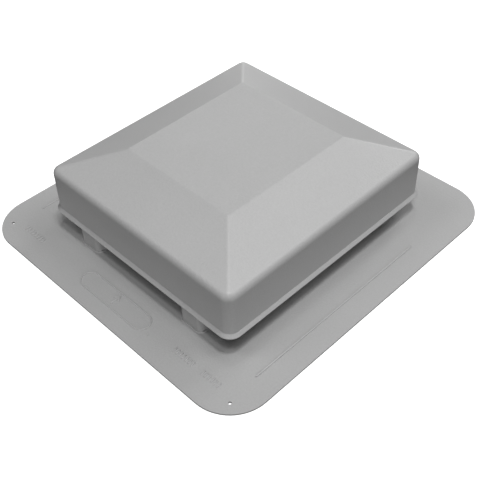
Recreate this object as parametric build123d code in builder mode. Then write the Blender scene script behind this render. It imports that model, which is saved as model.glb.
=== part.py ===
from build123d import *
import os
from math import cos, radians, sin

os.makedirs("parts", exist_ok=True)

# A moulded square-top roof vent. The frame has +Z up and its origin at the centre of the flange's
# underside. -Y is the down-slope side, which has the mould marks. Left and right are alike.

# Flange: the thin sheet that the shingles lap over
flange_width = 420.0
flange_length = 440.0
flange_thickness = 2.0
flange_corner_radius = 49.0
flange_edge_radius = 0.6
nail_hole_diameter = 3.6
nail_row_y = 197.0
low_nail_x = 186.0
high_nail_x = 62.0
water_rib_x = 182.0
water_rib_low_y = -157.0
water_rib_high_y = 98.0
water_rib_width = 2.4
water_rib_height = 0.9

# Throat: the square air opening, and the collar that stands up around it
throat_size = 212.0
throat_corner_radius = 26.0
collar_wall = 3.0
collar_top = 36.0
collar_corner_radius = 3.0
gusset_length = 14.0
gusset_height = 20.0
gusset_thickness = 2.0
gusset_pitch = 66.0
gussets_per_side = 3

# Corner posts, with a groove on each side for the louvre panels
post_size = 15.0
post_top = 88.0
groove_depth = 3.5
panel_clearance = 0.2

# Louvre panels and the insect screens behind them
panel_distance = 106.0
panel_thickness = 3.2
panel_border = 4.5
panel_top = 86.0
slat_count = 5
slat_depth = 9.0
slat_thickness = 1.5
slat_angle = 40.0
slat_offset = 2.6
mullion_count = 3
mullion_thickness = 2.0
screen_thickness = 0.8
screen_margin = 1.0

# Towers on the flange, with slots for the hood's legs
tower_x = 86.0
tower_width = 32.0
tower_face_y = 157.6
tower_depth = 22.0
tower_corner_radius = 6.0
tower_top = 26.7
tower_wall = 2.2
tower_foot_radius = 2.0

# Hood: a skirt, four slopes that meet at hips, and a flat deck
rim_width = 299.0
rim_length = 320.0
rim_height = 27.0
rim_flare = 3.4
rim_edge_height = 0.9
rim_flare_height = 4.2
skirt_draft = 0.5
skirt_corner_radius = 12.0
eave_height = 84.0
eave_radius = 9.0
hip_radius = 9.0
deck_width = 159.6
deck_length = 180.6
deck_height = 110.6
deck_edge_radius = 4.0
hood_wall = 2.2
rib_thickness = 1.6
rib_depth = 3.0

# Legs under the hood, which press into the towers' slots
leg_width = 24.0
leg_thickness = 5.0
leg_gap = 1.2
leg_foot_height = 4.0
leg_clearance = 0.3
leg_tip_chamfer = 1.2

# Rain baffle: a shallow tray under the hood, held to four bosses by screws
baffle_size = 228.0
baffle_corner_radius = 14.0
baffle_top = 90.6
baffle_thickness = 1.6
baffle_rim_height = 5.0
boss_spacing = 120.0
boss_diameter = 10.0
screw_diameter = 3.5
screw_head_diameter = 7.5
screw_head_height = 2.2
screw_length = 12.0
screw_clearance = 0.1
driver_slot_size = 2.2
driver_slot_depth = 1.2

# Raised mould marks along the down-slope edge
mark_height = 0.4
mark_y = -190.0
mark_line = 1.4
emblem_length = 112.0
emblem_width = 24.0
arrow_length = 14.0
arrow_width = 9.0
pip_x = 62.8
pip_y = -197.0
pip_diameter = 2.8
tally_bar_length = 7.0
tally_pitch = 4.5
tally_groups = {-150.0: 8, 112.0: 7, 152.0: 6}  # x of the group's centre: bars in it

skirt_half_x = rim_width / 2 - rim_flare
skirt_half_y = rim_length / 2 - rim_flare
collar_size = throat_size + 2 * collar_wall
post_centre = collar_size / 2 - post_size / 2
panel_height = panel_top - collar_top
panel_middle = (panel_top + collar_top) / 2
panel_gap = collar_size - 2 * post_size
panel_width = panel_gap + 2 * (groove_depth - panel_clearance)
leg_y = skirt_half_y - hood_wall - leg_gap - leg_thickness / 2
tower_y = tower_face_y - tower_depth / 2
baffle_bottom = baffle_top - baffle_thickness
side_angles = {"front": 0, "right": 90, "rear": 180, "left": 270}


def outward_direction(angle):
    """Unit vector that points out of one side of the vent: angle 0 is the front."""
    return Vector(sin(radians(angle)), -cos(radians(angle)), 0)


def facing_plane(angle, distance, height):
    """Upright plane that faces out of one side, with its X along the side and its Y up."""
    outward = outward_direction(angle)
    origin = outward * distance + Vector(0, 0, height)
    return Plane(origin, x_dir=Vector(0, 0, 1).cross(outward), z_dir=outward)


def crossing_plane(angle, along):
    """Upright plane that cuts across one side, with its X outwards and its Y up."""
    outward = outward_direction(angle)
    normal = outward.cross(Vector(0, 0, 1))
    return Plane(normal * along, x_dir=outward, z_dir=normal)


def hood_profile(plane, half_skirt, half_deck, low, inset):
    """One upright section of the hood, moved in all round by inset."""
    with BuildSketch(plane) as profile:
        with BuildLine():
            Polyline(
                (-half_skirt, low),
                (skirt_draft - half_skirt, eave_height),
                (-half_deck, deck_height),
                (half_deck, deck_height),
                (half_skirt - skirt_draft, eave_height),
                (half_skirt, low),
                close=True,
            )
        make_face()
        if inset > 0:
            offset(amount=-inset, kind=Kind.INTERSECTION)
    return profile.sketch


def hood_form(low, inset):
    """The solid inside the hood's outer surface, down to low, moved in all round by inset."""
    with BuildPart() as form:
        extrude(hood_profile(Plane.XZ, skirt_half_x, deck_width / 2, low, inset), amount=rim_length, both=True)
        across = hood_profile(Plane.YZ, skirt_half_y, deck_length / 2, low, inset)
        extrude(across, amount=rim_width, both=True, mode=Mode.INTERSECT)
        sloping = form.edges().filter_by(lambda edge: abs((edge @ 1).Z - (edge @ 0).Z) > 1)
        fillet(sloping.group_by(Axis.Z)[0], skirt_corner_radius - inset)
        sloping = form.edges().filter_by(lambda edge: abs((edge @ 1).Z - (edge @ 0).Z) > 1)
        hips = sloping.filter_by(lambda edge: max((edge @ 1).Z, (edge @ 0).Z) > deck_height - inset - 0.1)
        fillet(hips, hip_radius - inset)
        eaves = form.edges().filter_by(lambda edge: abs(edge.center().Z - (eave_height - inset)) < 4.5)
        level = eaves.filter_by(lambda edge: abs((edge @ 1).Z - (edge @ 0).Z) < 6)
        outer = level.filter_by(lambda edge: is_at_skirt(edge.center(), inset))
        fillet(outer, eave_radius - inset)
        if inset == 0:
            deck_edges = form.edges().filter_by(lambda edge: deck_height - edge.center().Z < 0.3)
            fillet(deck_edges, deck_edge_radius)
    return form.part


def is_at_skirt(place, inset):
    """Whether a place is near the skirt's outer faces, moved in by inset."""
    return max(abs(place.X) / (skirt_half_x - inset), abs(place.Y) / (skirt_half_y - inset)) > 0.9


def hood_shell():
    """The hood's wall, open underneath, with the flare of the rim."""
    with BuildPart() as shell:
        with BuildSketch(Plane.XY.offset(rim_height)) as rim:
            RectangleRounded(rim_width, rim_length, skirt_corner_radius + rim_flare)
        extrude(amount=rim_edge_height)
        with BuildSketch(Plane.XY.offset(rim_height + rim_edge_height)):
            RectangleRounded(rim_width, rim_length, skirt_corner_radius + rim_flare)
        with BuildSketch(Plane.XY.offset(rim_height + rim_flare_height)):
            RectangleRounded(2 * skirt_half_x, 2 * skirt_half_y, skirt_corner_radius)
        loft(ruled=True)
        add(hood_form(rim_height, 0.0))
        add(hood_form(rim_height - 2 * hood_wall, hood_wall), mode=Mode.SUBTRACT)
    return shell.part


def rib_space():
    """The layer under the hood's ceiling and behind its skirt that the stiffening ribs fill."""
    with BuildPart() as space:
        add(hood_form(rim_height, 0.0))
        low = rim_height - 2 * (hood_wall + rib_depth)
        add(hood_form(low, hood_wall + rib_depth), mode=Mode.SUBTRACT)
    return space.part


def hood_ribs():
    """Stiffening ribs along the hips and across the middle of each slope."""
    with BuildPart() as ribs:
        with BuildSketch(Plane.XY.offset(rim_height + rim_flare_height)):
            with Locations((0, 0)):
                Rectangle(rim_width, rib_thickness)
                Rectangle(rib_thickness, rim_length)
            corner = Vector(skirt_half_x - deck_width / 2, skirt_half_y - deck_length / 2)
            turn = corner.get_signed_angle(Vector(1, 0, 0))
            with GridLocations(deck_width, deck_length, 2, 2) as deck_corners:
                for place in deck_corners.locations:
                    upper = place.position.X * place.position.Y > 0
                    with Locations(place.position):
                        Rectangle(2 * rim_width / 3, rib_thickness, rotation=-turn if upper else turn)
        extrude(amount=deck_height)
        add(rib_space(), mode=Mode.INTERSECT)
        with BuildSketch():
            Rectangle(deck_width, deck_length)
        extrude(amount=deck_height, mode=Mode.SUBTRACT)
    return ribs.part


# The flange with its throat, collar, posts, towers, water ribs and marks, all one moulding
with BuildPart() as base_flange:
    with BuildSketch():
        RectangleRounded(flange_width, flange_length, flange_corner_radius)
    extrude(amount=flange_thickness)
    fillet(base_flange.edges().group_by(Axis.Z)[-1], flange_edge_radius)

    with BuildSketch(Plane.XY.offset(flange_thickness)):
        RectangleRounded(collar_size, collar_size, collar_corner_radius)
    extrude(amount=collar_top - flange_thickness)
    with BuildSketch(Plane.XY.offset(collar_top)):
        with GridLocations(2 * post_centre, 2 * post_centre, 2, 2):
            RectangleRounded(post_size, post_size, collar_corner_radius)
    extrude(amount=post_top - collar_top)
    with BuildSketch():
        RectangleRounded(throat_size, throat_size, throat_corner_radius)
    extrude(amount=post_top, mode=Mode.SUBTRACT)

    for angle in side_angles.values():
        with BuildSketch(facing_plane(angle, panel_distance, collar_top)):
            with Locations((0, (post_top - collar_top) / 2)):
                Rectangle(panel_gap + 2 * groove_depth, post_top - collar_top)
        extrude(amount=panel_thickness / 2 + panel_clearance, both=True, mode=Mode.SUBTRACT)
        for index in range(gussets_per_side):
            along = (index - (gussets_per_side - 1) / 2) * gusset_pitch
            with BuildSketch(crossing_plane(angle, along)):
                with BuildLine():
                    Polyline(
                        (collar_size / 2 - collar_wall / 2, flange_thickness / 2),
                        (collar_size / 2 + gusset_length, flange_thickness / 2),
                        (collar_size / 2 + gusset_length, flange_thickness),
                        (collar_size / 2, flange_thickness + gusset_height),
                        (collar_size / 2 - collar_wall / 2, flange_thickness + gusset_height),
                        close=True,
                    )
                make_face()
            extrude(amount=gusset_thickness / 2, both=True)

    with BuildSketch(Plane.XY.offset(flange_thickness)):
        with GridLocations(2 * tower_x, 2 * tower_y, 2, 2):
            RectangleRounded(tower_width, tower_depth, tower_corner_radius)
    extrude(amount=tower_top - flange_thickness)
    tower_feet = base_flange.edges().filter_by_position(Axis.Z, flange_thickness - 0.01, flange_thickness + 0.01)
    fillet(tower_feet.filter_by(lambda edge: abs(edge.center().Y) > tower_y - tower_depth), tower_foot_radius)
    with BuildSketch():
        with GridLocations(2 * tower_x, 2 * tower_y, 2, 2):
            RectangleRounded(
                tower_width - 2 * tower_wall, tower_depth - 2 * tower_wall, tower_corner_radius - tower_wall
            )
    extrude(amount=tower_top - tower_wall, mode=Mode.SUBTRACT)
    with BuildSketch(Plane.XY.offset(tower_top)):
        with GridLocations(2 * tower_x, 2 * leg_y, 2, 2):
            Rectangle(leg_width + 2 * leg_clearance, leg_thickness + 2 * leg_clearance)
    extrude(amount=-2 * tower_wall, mode=Mode.SUBTRACT)

    with BuildSketch(Plane.XY.offset(flange_thickness)):
        with Locations((0, (water_rib_low_y + water_rib_high_y) / 2)):
            with GridLocations(2 * water_rib_x, 0, 2, 1):
                SlotOverall(water_rib_high_y - water_rib_low_y, water_rib_width, rotation=90)
    extrude(amount=water_rib_height)
    with BuildSketch(Plane.XY.offset(flange_thickness)):
        with Locations((0, mark_y)):
            SlotOverall(emblem_length, emblem_width)
            SlotOverall(emblem_length - 2 * mark_line, emblem_width - 2 * mark_line, mode=Mode.SUBTRACT)
            Rectangle(mark_line * 2, arrow_length)
        with Locations((0, mark_y + arrow_length / 2 - arrow_width / 4)):
            Triangle(a=arrow_width, b=arrow_width, c=arrow_width)
        with Locations((pip_x, pip_y)):
            Circle(pip_diameter / 2)
        for group_x, bars in tally_groups.items():
            with Locations((group_x, mark_y)):
                with GridLocations(tally_pitch, 0, bars, 1):
                    Rectangle(mark_line, tally_bar_length)
    extrude(amount=mark_height)

    with BuildSketch():
        with Locations((-low_nail_x, -nail_row_y), (low_nail_x, -nail_row_y)):
            Circle(nail_hole_diameter / 2)
        with Locations((-high_nail_x, nail_row_y), (high_nail_x, nail_row_y)):
            Circle(nail_hole_diameter / 2)
    extrude(amount=flange_thickness, mode=Mode.SUBTRACT)
base_flange.part.label = "base_flange"
export_step(base_flange.part, "parts/base_flange.step")

# The hood, with its legs, stiffening ribs and screw bosses
with BuildPart() as hood_cover:
    with BuildSketch(Plane.XY.offset(leg_foot_height)):
        with GridLocations(2 * tower_x, 2 * leg_y, 2, 2):
            Rectangle(leg_width, leg_thickness)
    extrude(amount=deck_height)
    chamfer(hood_cover.edges().group_by(Axis.Z)[0], leg_tip_chamfer)
    with BuildSketch(Plane.XY.offset(rim_height + rim_flare_height)):
        with GridLocations(2 * tower_x, 2 * (leg_y + leg_thickness / 2), 2, 2):
            Rectangle(rib_thickness, 2 * (leg_gap + hood_wall / 2))
    extrude(amount=deck_height)
    with BuildSketch(Plane.XY.offset(baffle_top)):
        with GridLocations(boss_spacing, boss_spacing, 2, 2):
            Circle(boss_diameter / 2)
    extrude(amount=deck_height)
    add(hood_form(leg_foot_height - 1, 0.0), mode=Mode.INTERSECT)
    add(hood_shell())
    add(hood_ribs())
    with BuildSketch(Plane.XY.offset(baffle_top)):
        with GridLocations(boss_spacing, boss_spacing, 2, 2):
            Circle(screw_diameter / 2 + screw_clearance)
    extrude(amount=screw_length, mode=Mode.SUBTRACT)
hood_cover.part.label = "hood_cover"
export_step(hood_cover.part, "parts/hood_cover.step")

# Louvre panels: a frame in the posts' grooves, with sloping slats and upright mullions
for side, angle in side_angles.items():
    with BuildPart() as louvre:
        with BuildSketch(facing_plane(angle, panel_distance, panel_middle)):
            Rectangle(panel_width, panel_height)
            Rectangle(panel_gap - 2 * panel_border, panel_height - 2 * panel_border, mode=Mode.SUBTRACT)
        extrude(amount=panel_thickness / 2, both=True)
        with BuildSketch(facing_plane(angle, panel_distance - panel_thickness / 2, panel_middle)):
            with GridLocations((panel_gap - 2 * panel_border) / (mullion_count + 1), 0, mullion_count, 1):
                Rectangle(mullion_thickness, panel_height - panel_border)
        extrude(amount=panel_thickness)
        with BuildSketch(crossing_plane(angle, 0)):
            with Locations((panel_distance + slat_offset, panel_middle)):
                with GridLocations(0, (panel_height - panel_border) / (slat_count + 1), 1, slat_count):
                    Rectangle(slat_depth, slat_thickness, rotation=-slat_angle)
        extrude(amount=panel_gap / 2 - panel_border / 2, both=True)
    louvre.part.label = "louvre_" + side
    export_step(louvre.part, "parts/louvre_" + side + ".step")

    with BuildPart() as screen:
        with BuildSketch(facing_plane(angle, panel_distance - panel_thickness / 2, panel_middle)):
            Rectangle(panel_gap - 2 * screen_margin, panel_height - 2 * screen_margin)
        extrude(amount=-screen_thickness)
    screen.part.label = "screen_" + side
    export_step(screen.part, "parts/screen_" + side + ".step")

# Rain baffle under the hood, with a turned-down rim outside the louvres
with BuildPart() as rain_baffle:
    with BuildSketch(Plane.XY.offset(baffle_top)):
        RectangleRounded(baffle_size, baffle_size, baffle_corner_radius)
    extrude(amount=-baffle_rim_height)
    with BuildSketch(Plane.XY.offset(baffle_bottom)):
        RectangleRounded(
            baffle_size - 2 * baffle_thickness,
            baffle_size - 2 * baffle_thickness,
            baffle_corner_radius - baffle_thickness,
        )
    extrude(amount=-baffle_rim_height, mode=Mode.SUBTRACT)
    with Locations(Plane.XY.offset(baffle_top)):
        with GridLocations(boss_spacing, boss_spacing, 2, 2):
            Hole(screw_diameter / 2 + 2 * screw_clearance, depth=2 * baffle_thickness)
rain_baffle.part.label = "rain_baffle"
export_step(rain_baffle.part, "parts/rain_baffle.step")

# Four pan-head screws that hold the baffle to the hood's bosses
with BuildPart() as baffle_screws:
    with BuildSketch(Plane.XY.offset(baffle_bottom)):
        with GridLocations(boss_spacing, boss_spacing, 2, 2):
            Circle(screw_head_diameter / 2)
    extrude(amount=-screw_head_height)
    fillet(baffle_screws.edges().group_by(Axis.Z)[0], screw_head_height / 2)
    with BuildSketch(Plane.XY.offset(baffle_bottom)):
        with GridLocations(boss_spacing, boss_spacing, 2, 2):
            Circle(screw_diameter / 2)
    extrude(amount=screw_length)
    with BuildSketch(Plane.XY.offset(baffle_bottom - screw_head_height)):
        with GridLocations(boss_spacing, boss_spacing, 2, 2):
            Rectangle(driver_slot_size, driver_slot_size)
    extrude(amount=driver_slot_depth, mode=Mode.SUBTRACT)
baffle_screws.part.label = "baffle_screws"
export_step(baffle_screws.part, "parts/baffle_screws.step")
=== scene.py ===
import bpy
import bmesh
from math import cos, pi, radians, sin
from mathutils import Matrix, Vector


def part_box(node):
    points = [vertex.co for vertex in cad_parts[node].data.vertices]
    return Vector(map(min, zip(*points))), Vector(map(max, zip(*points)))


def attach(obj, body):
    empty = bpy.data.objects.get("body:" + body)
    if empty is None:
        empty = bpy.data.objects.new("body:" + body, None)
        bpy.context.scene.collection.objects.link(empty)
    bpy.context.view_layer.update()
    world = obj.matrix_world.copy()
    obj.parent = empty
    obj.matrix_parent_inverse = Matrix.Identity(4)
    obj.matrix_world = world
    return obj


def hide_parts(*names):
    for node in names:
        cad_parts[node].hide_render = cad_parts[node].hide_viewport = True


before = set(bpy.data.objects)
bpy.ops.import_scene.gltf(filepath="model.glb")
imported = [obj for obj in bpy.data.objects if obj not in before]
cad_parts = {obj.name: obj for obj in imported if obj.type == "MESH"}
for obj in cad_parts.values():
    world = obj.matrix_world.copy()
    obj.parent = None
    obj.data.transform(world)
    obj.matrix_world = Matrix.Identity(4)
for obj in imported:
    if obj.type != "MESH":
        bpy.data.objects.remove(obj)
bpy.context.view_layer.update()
print("stage: frame loaded,", len(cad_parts), "CAD nodes")


# camera, lights and floor

cameraView = {
    "azimuth": 46.39,  # degrees round from the down-slope side
    "elevation": 44.13,
    "roll": -1.91,
    "distance": 0.9761,  # metres from the target
    "target": (0.0306, -0.0282, 0.0),
    "lens": 62.6,  # millimetres
    "sensorWidth": 36,
    "nearClip": 0.01,
}

studio = {
    "lightDistance": 4.4,  # metres from the origin
    "floorTone": 0.9,
    "floorGlow": 0.4,
    "floorSize": 6.0,
    "floorLevel": -0.0002,
    "noGlint": ("nearLow",),  # the deck would mirror it to the back
}

# degrees round from the down-slope side, degrees up, metres across, watts
lamps = {
    "key": (90, 80, 0.55, 68.0),
    "nearTop": (46, 68, 0.55, 35.9),
    "nearLow": (45, 12, 1.76, 70.0),
    "leftFill": (315, 55, 1.54, 34.0),
    "farRight": (135, 55, 1.54, 39.5),
    "farLow": (180, 32, 1.54, 56.1),
    "farLeftLow": (225, 12, 1.76, 24.3),
    "hipGloss": (226, 79, 0.5, 16.0),
}


def direction(azimuth, elevation):
    # unit vector from the origin, from two angles in radians
    return Vector((sin(azimuth) * cos(elevation), -cos(azimuth) * cos(elevation), sin(elevation)))


def makeCamera():
    azimuth = radians(cameraView["azimuth"])
    back = direction(azimuth, radians(cameraView["elevation"]))
    right = Vector((cos(azimuth), sin(azimuth), 0))
    up = back.cross(right)
    roll = Matrix.Rotation(radians(cameraView["roll"]), 4, "Z")
    turn = Matrix((right, up, back)).transposed().to_4x4() @ roll
    data = bpy.data.cameras.new("camera")
    data.lens = cameraView["lens"]
    data.sensor_width = cameraView["sensorWidth"]
    data.clip_start = cameraView["nearClip"]
    camera = bpy.data.objects.new("camera", data)
    bpy.context.scene.collection.objects.link(camera)
    eye = Vector(cameraView["target"]) + back * cameraView["distance"]
    camera.matrix_world = Matrix.Translation(eye) @ turn
    bpy.context.scene.camera = camera


def makeLamp(name):
    azimuth, elevation, size, power = lamps[name]
    data = bpy.data.lights.new(name, "AREA")
    data.shape = "SQUARE"
    data.size = size
    data.energy = power
    lamp = bpy.data.objects.new(name, data)
    bpy.context.scene.collection.objects.link(lamp)
    away = direction(radians(azimuth), radians(elevation))
    lamp.location = away * studio["lightDistance"]
    lamp.rotation_euler = away.to_track_quat("Z", "Y").to_euler()
    lamp.visible_glossy = name not in studio["noGlint"]


# shader maths

class Shade:
    # one socket of a material's node tree, so that shader maths reads as plain sums
    def __init__(self, tree, socket=None):
        self.tree = tree
        self.socket = socket

    def node(self, kind, settings={}, sockets={}, out=0):
        made = self.tree.nodes.new(kind)
        for name, value in settings.items():
            setattr(made, name, value)
        for name, value in sockets.items():
            if isinstance(value, Shade):
                self.tree.links.new(value.socket, made.inputs[name])
            else:
                made.inputs[name].default_value = value
        return Shade(self.tree, made.outputs[out] if made.outputs else None)

    def maths(self, operation, first, second):
        return self.node("ShaderNodeMath", {"operation": operation}, {0: first, 1: second})

    def __add__(self, other): return self.maths("ADD", self, other)
    def __sub__(self, other): return self.maths("SUBTRACT", self, other)
    def __rsub__(self, other): return self.maths("SUBTRACT", other, self)
    def __mul__(self, other): return self.maths("MULTIPLY", self, other)
    __radd__ = __add__
    __rmul__ = __mul__


def newMaterial(name):
    material = bpy.data.materials.new(name)
    material.use_nodes = True
    tree = material.node_tree
    tree.nodes.clear()
    return material, Shade(tree)


def finishMaterial(shade, colour, roughness, normal=None, metallic=0.0, specular=0.5, glow=0.0):
    sockets = {
        "Base Color": colour,
        "Roughness": roughness,
        "Metallic": metallic,
        "Specular IOR Level": specular,
    }
    if glow:
        sockets["Emission Color"] = (1, 1, 1, 1)
        sockets["Emission Strength"] = glow
    if normal is not None:
        sockets["Normal"] = normal
    surface = shade.node("ShaderNodeBsdfPrincipled", {}, sockets)
    shade.node("ShaderNodeOutputMaterial", {}, {"Surface": surface})


def greys(shade, low, high, factor):
    # a colour between two greys; 6, 7 and 2 are the node's colour sockets
    return shade.node(
        "ShaderNodeMix",
        {"data_type": "RGBA"},
        {0: factor, 6: (low, low, low, 1), 7: (high, high, high, 1)},
        out=2,
    )


def objectPlace(shade):
    return shade.node("ShaderNodeTexCoord", out=3)


def noise(shade, place, scale, detail, roughness=0.5):
    sockets = {"Vector": place, "Scale": scale, "Detail": detail, "Roughness": roughness}
    return shade.node("ShaderNodeTexNoise", {}, sockets)


def bumpFrom(shade, height, strength, distance):
    sockets = {"Strength": strength, "Distance": distance, "Height": height}
    return shade.node("ShaderNodeBump", {}, sockets)


ventLook = {
    "hoodTone": 0.385,  # linear grey of the hood's moulding
    "flangeTone": 0.352,
    "mottle": 0.05,
    "mottleScale": 9.0,
    "mottleDetail": 3.0,
    "mottleShare": 0.3,  # how much of the colour change is broad, and how much fine
    "grainShare": 0.7,
    "grainScale": 520.0,  # grains to a metre
    "grainDetail": 2.0,
    "grainDepth": 0.00022,
    "noiseRoughness": 0.6,
    "roughness": 0.42,
    "roughnessChange": 0.2,
}


def makeVentPlastic(name, tone):
    look = ventLook
    material, shade = newMaterial(name)
    place = objectPlace(shade)
    mottle = noise(shade, place, look["mottleScale"], look["mottleDetail"], look["noiseRoughness"])
    grain = noise(shade, place, look["grainScale"], look["grainDetail"], look["noiseRoughness"])
    mixed = mottle * look["mottleShare"] + grain * look["grainShare"]
    colour = greys(shade, tone - look["mottle"], tone + look["mottle"], mixed)
    roughness = (grain - 0.5) * look["roughnessChange"] + look["roughness"]  # noise centres on 0.5
    finishMaterial(shade, colour, roughness, bumpFrom(shade, grain, 1.0, look["grainDepth"]))
    return material


def makeFloor():
    material, shade = newMaterial("paleFloor")
    tone = studio["floorTone"]
    finishMaterial(shade, (tone, tone, tone, 1), 1.0, specular=0.0, glow=studio["floorGlow"])
    bpy.ops.mesh.primitive_plane_add(size=studio["floorSize"], location=(0, 0, studio["floorLevel"]))
    floor = bpy.context.object
    floor.name = "floor"
    floor.data.materials.append(material)
    floor.visible_diffuse = False  # the pale floor throws no light up under the hood
    floor.visible_glossy = False


def makeStudio():
    scene = bpy.context.scene
    scene.view_settings.view_transform = "Standard"
    world = bpy.data.worlds.new("studio")
    world.use_nodes = True
    world.node_tree.nodes["Background"].inputs["Strength"].default_value = 0.0
    scene.world = world
    for name in lamps:
        makeLamp(name)


# the other finishes

louvreLook = {
    "tone": 0.09,
    "mottle": 0.012,
    "mottleScale": 30.0,
    "mottleDetail": 3.0,
    "grainScale": 700.0,
    "grainDetail": 2.0,
    "grainDepth": 0.0001,
    "roughness": 0.5,
    "roughnessChange": 0.08,
}


def makeLouvrePlastic():
    look = louvreLook
    material, shade = newMaterial("louvrePlastic")
    place = objectPlace(shade)
    grain = noise(shade, place, look["grainScale"], look["grainDetail"])
    mottle = noise(shade, place, look["mottleScale"], look["mottleDetail"])
    colour = greys(shade, look["tone"] - look["mottle"], look["tone"] + look["mottle"], mottle)
    roughness = (grain - 0.5) * look["roughnessChange"] + look["roughness"]
    finishMaterial(shade, colour, roughness, bumpFrom(shade, grain, 1.0, look["grainDepth"]))
    return material


# stretch is noise cells to a metre along x, y and z
metalLooks = {
    "screenAluminium": {"tone": 0.55, "spread": 0.1, "stretch": (60, 60, 60), "roughness": 0.38},
    "screwSteel": {"tone": 0.5, "spread": 0.08, "stretch": (900, 900, 120), "roughness": 0.3},
}
metalGrain = {
    "detail": 4.0,
    "noiseRoughness": 0.6,
    "bumpStrength": 0.4,
    "bumpDepth": 0.00005,
    "roughnessChange": 0.2,
}


def makeMetal(name):
    look = metalLooks[name]
    material, shade = newMaterial(name)
    place = objectPlace(shade)
    spread = shade.node("ShaderNodeMapping", {}, {"Vector": place, "Scale": look["stretch"]})
    streak = noise(shade, spread, 1.0, metalGrain["detail"], metalGrain["noiseRoughness"])
    colour = greys(shade, look["tone"] - look["spread"], look["tone"] + look["spread"], streak)
    bump = bumpFrom(shade, streak, metalGrain["bumpStrength"], metalGrain["bumpDepth"])
    roughness = streak * metalGrain["roughnessChange"] + look["roughness"]
    finishMaterial(shade, colour, roughness, bump, metallic=1.0)
    return material


# meshes

def addPiece(name, mesh, material, body, sharpAngle):
    # makes the finished mesh a piece that rides on a body
    mesh.normal_update()
    data = bpy.data.meshes.new(name)
    mesh.to_mesh(data)
    mesh.free()
    piece = bpy.data.objects.new(name, data)
    bpy.context.scene.collection.objects.link(piece)
    data.materials.append(material)
    data.shade_smooth()
    data.set_sharp_from_angle(angle=radians(sharpAngle))
    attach(piece, body)
    return piece


def sweep(mesh, rings, closed=False):
    # skins rings of points, each ring closed on itself, and caps the ends of an open run
    made = [[mesh.verts.new(point) for point in ring] for ring in rings]
    pairs = zip(made, made[1:] + made[:1]) if closed else zip(made, made[1:])
    for low, high in pairs:
        for index in range(len(low)):
            after = (index + 1) % len(low)
            mesh.faces.new((low[index], low[after], high[after], high[index]))
    if not closed:
        mesh.faces.new(list(reversed(made[0])))
        mesh.faces.new(made[-1])


# moulded beads on the flange: ribs, curbs and marks

beads = {
    "top": 0.002,  # the flange's upper face
    "sink": 0.0004,  # how far a bead's foot reaches into the flange
    "arcSteps": 6,
    "tipSize": 0.35,  # how far an open end draws in
    "sharpAngle": 50,
    "ribX": 0.182,
    "ribLow": -0.157,
    "ribHigh": 0.098,
    "ribWidth": 0.0026,
    "ribHeight": 0.0013,
    "curbWidth": 0.0022,
    "curbHeight": 0.0012,
    "curbGap": 0.0011,
    "curbSteps": 8,
    "curbReach": 0.55,  # share of the tower's depth that a curb follows
    "markWidth": 0.0019,
    "markHeight": 0.001,
    "markY": -0.190,
    "emblemLength": 0.112,
    "emblemWidth": 0.024,
    "emblemSteps": 14,
    "arrowLength": 0.014,
    "wingSpread": 0.0045,
    "wingDrop": 0.006,
    "tallyLength": 0.007,
    "tallyPitch": 0.0045,
    "tallyGroups": ((-0.150, 8), (0.112, 7), (0.152, 6)),  # place along the edge, bars
}

# the feet of the flange's towers, which the curbs follow
towers = {
    "places": (-0.086, 0.086),
    "width": 0.032,
    "face": 0.1576,
    "depth": 0.022,
    "corner": 0.006,
}


def beadRings(path, width, height, closed=False):
    # half-round rings across a flat path, smaller at an open path's ends
    rings = []
    count = len(path)
    for index, point in enumerate(path):
        before = path[index - 1] if closed or index else point
        after = path[(index + 1) % count] if closed or index < count - 1 else point
        along = (Vector(after) - Vector(before)).normalized()
        across = Vector((-along.y, along.x))
        size = 1.0 if closed or 0 < index < count - 1 else beads["tipSize"]
        ring = [
            (
                point[0] + across.x * width / 2 * size * cos(pi * step / beads["arcSteps"]),
                point[1] + across.y * width / 2 * size * cos(pi * step / beads["arcSteps"]),
                beads["top"] + height * size * sin(pi * step / beads["arcSteps"]),
            )
            for step in range(beads["arcSteps"] + 1)
        ]
        for side in (ring[-1], ring[0]):
            ring.append((side[0], side[1], beads["top"] - beads["sink"]))
        rings.append(ring)
    return rings


def straightPath(start, end, tipLength):
    # a path between two points, with a short step at each end where a bead draws in
    start, end = Vector(start), Vector(end)
    step = (end - start).normalized() * tipLength
    return [tuple(start), tuple(start + step), tuple(end - step), tuple(end)]


def arcPath(centre, radius, fromAngle, toAngle, steps):
    path = []
    for step in range(steps + 1):
        angle = radians(fromAngle + (toAngle - fromAngle) * step / steps)
        path.append((centre[0] + radius * cos(angle), centre[1] + radius * sin(angle)))
    return path


def towerCurbPath(x, side):
    # round the outer foot of one tower, from flank to flank
    gap = beads["curbGap"]
    half = towers["width"] / 2 + gap
    outer = towers["face"] + gap
    radius = towers["corner"] + gap
    inner = side * (outer - towers["depth"] * beads["curbReach"])
    centreY = outer - radius
    left = arcPath((x - half + radius, centreY), radius, 180, 90, beads["curbSteps"])
    right = arcPath((x + half - radius, centreY), radius, 90, 0, beads["curbSteps"])
    around = [(px, side * py) for px, py in left + right]
    return [(x - half, inner)] + around + [(x + half, inner)]


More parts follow.
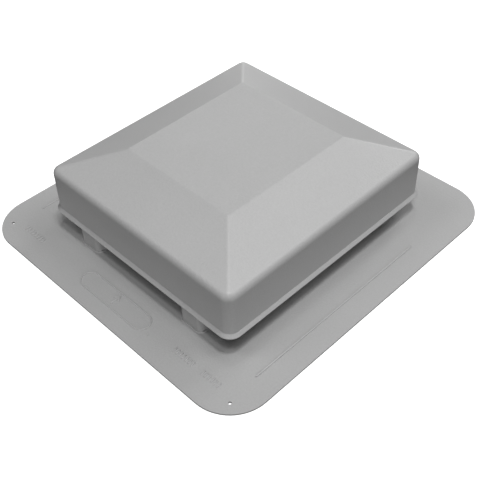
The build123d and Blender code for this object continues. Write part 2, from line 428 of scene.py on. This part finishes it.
def makeFlangeBeads(material):
    look = beads
    mesh = bmesh.new()
    for side in (-1, 1):
        ribX = side * look["ribX"]
        path = straightPath((ribX, look["ribLow"]), (ribX, look["ribHigh"]), look["ribWidth"] / 2)
        sweep(mesh, beadRings(path, look["ribWidth"], look["ribHeight"]))
        for x in towers["places"]:
            sweep(mesh, beadRings(towerCurbPath(x, side), look["curbWidth"], look["curbHeight"]))

    width, height, y = look["markWidth"], look["markHeight"], look["markY"]

    def addBar(start, end):
        sweep(mesh, beadRings(straightPath(start, end, width / 2), width, height))

    # the emblem's outline, then an arrow that points up the slope
    reach = look["emblemLength"] / 2 - look["emblemWidth"] / 2
    radius = look["emblemWidth"] / 2 - width / 2
    outline = arcPath((reach, y), radius, -90, 90, look["emblemSteps"])
    outline += arcPath((-reach, y), radius, 90, 270, look["emblemSteps"])
    sweep(mesh, beadRings(outline, width, height, closed=True), closed=True)
    tip = (0, y + look["arrowLength"] / 2)
    addBar((0, y - look["arrowLength"] / 2), tip)
    for side in (-1, 1):
        addBar((side * look["wingSpread"], tip[1] - look["wingDrop"]), tip)

    half = look["tallyLength"] / 2
    for groupX, bars in look["tallyGroups"]:
        for index in range(bars):
            x = groupX + (index - (bars - 1) / 2) * look["tallyPitch"]
            addBar((x, y - half), (x, y + half))
    addPiece("flange_beads", mesh, material, "base", look["sharpAngle"])


# woven insect screens

weave = {
    "pitch": 0.003,
    "wire": 0.00021,  # radius
    "sway": 0.00019,  # how far a wire bends over its neighbours
    "sides": 5,
    "stepsPerCrossing": 2,
    "sharpAngle": 80,
}


def makeScreen(node, material):
    low, high = (Vector(corner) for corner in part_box(node))
    size = high - low
    thin = 0 if size.x < size.y else 1
    wide = 1 - thin
    middle = (low + high) / 2
    mesh = bmesh.new()
    across = int(size[wide] / weave["pitch"])
    upward = int(size.z / weave["pitch"])
    margin = 2 * weave["wire"]

    def wirePoint(alongWide, height, out):
        point = [0, 0, 0]
        point[wide] = middle[wide] + alongWide
        point[thin] = middle[thin] + out
        point[2] = middle.z + height
        return Vector(point)

    def addWire(start, way, length, crossings, phase):
        steps = crossings * weave["stepsPerCrossing"]
        rings = []
        for step in range(steps + 1):
            run = (step / steps - 0.5) * length
            out = weave["sway"] * cos(pi * step / weave["stepsPerCrossing"] + phase)
            ring = []
            for side in range(weave["sides"]):
                angle = 2 * pi * side / weave["sides"]
                aside, off = weave["wire"] * cos(angle), out + weave["wire"] * sin(angle)
                if way == "up":
                    ring.append(wirePoint(start + aside, run, off))
                else:
                    ring.append(wirePoint(run, start + aside, off))
            rings.append(ring)
        sweep(mesh, rings)

    for index in range(across + 1):
        start = (index - across / 2) * (size[wide] - 2 * margin) / across
        addWire(start, "up", size.z, upward, pi * (index % 2))
    for index in range(upward + 1):
        start = (index - upward / 2) * (size.z - 2 * margin) / upward
        addWire(start, "across", size[wide], across, pi * ((index + 1) % 2))
    bmesh.ops.recalc_face_normals(mesh, faces=mesh.faces)
    piece = addPiece(node + "_weave", mesh, material, "base", weave["sharpAngle"])
    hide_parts(node)


makeCamera()
makeFloor()
makeStudio()
print("stage: camera, floor and lights made")

hoodPlastic = makeVentPlastic("hoodPlastic", ventLook["hoodTone"])
flangePlastic = makeVentPlastic("flangePlastic", ventLook["flangeTone"])
louvrePlastic = makeLouvrePlastic()
screenAluminium = makeMetal("screenAluminium")
screwSteel = makeMetal("screwSteel")
sideNames = ("front", "rear", "left", "right")
finishes = {
    "base_flange": flangePlastic,
    "hood_cover": hoodPlastic,
    "rain_baffle": hoodPlastic,
    "baffle_screws": screwSteel,
}
for side in sideNames:
    finishes["louvre_" + side] = louvrePlastic
for node, material in finishes.items():
    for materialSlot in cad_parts[node].material_slots:
        materialSlot.material = material
print("stage: finishes on the CAD nodes")

makeFlangeBeads(flangePlastic)
print("stage: flange beads made")
for side in sideNames:
    makeScreen("screen_" + side, screenAluminium)
print("stage: woven screens made")
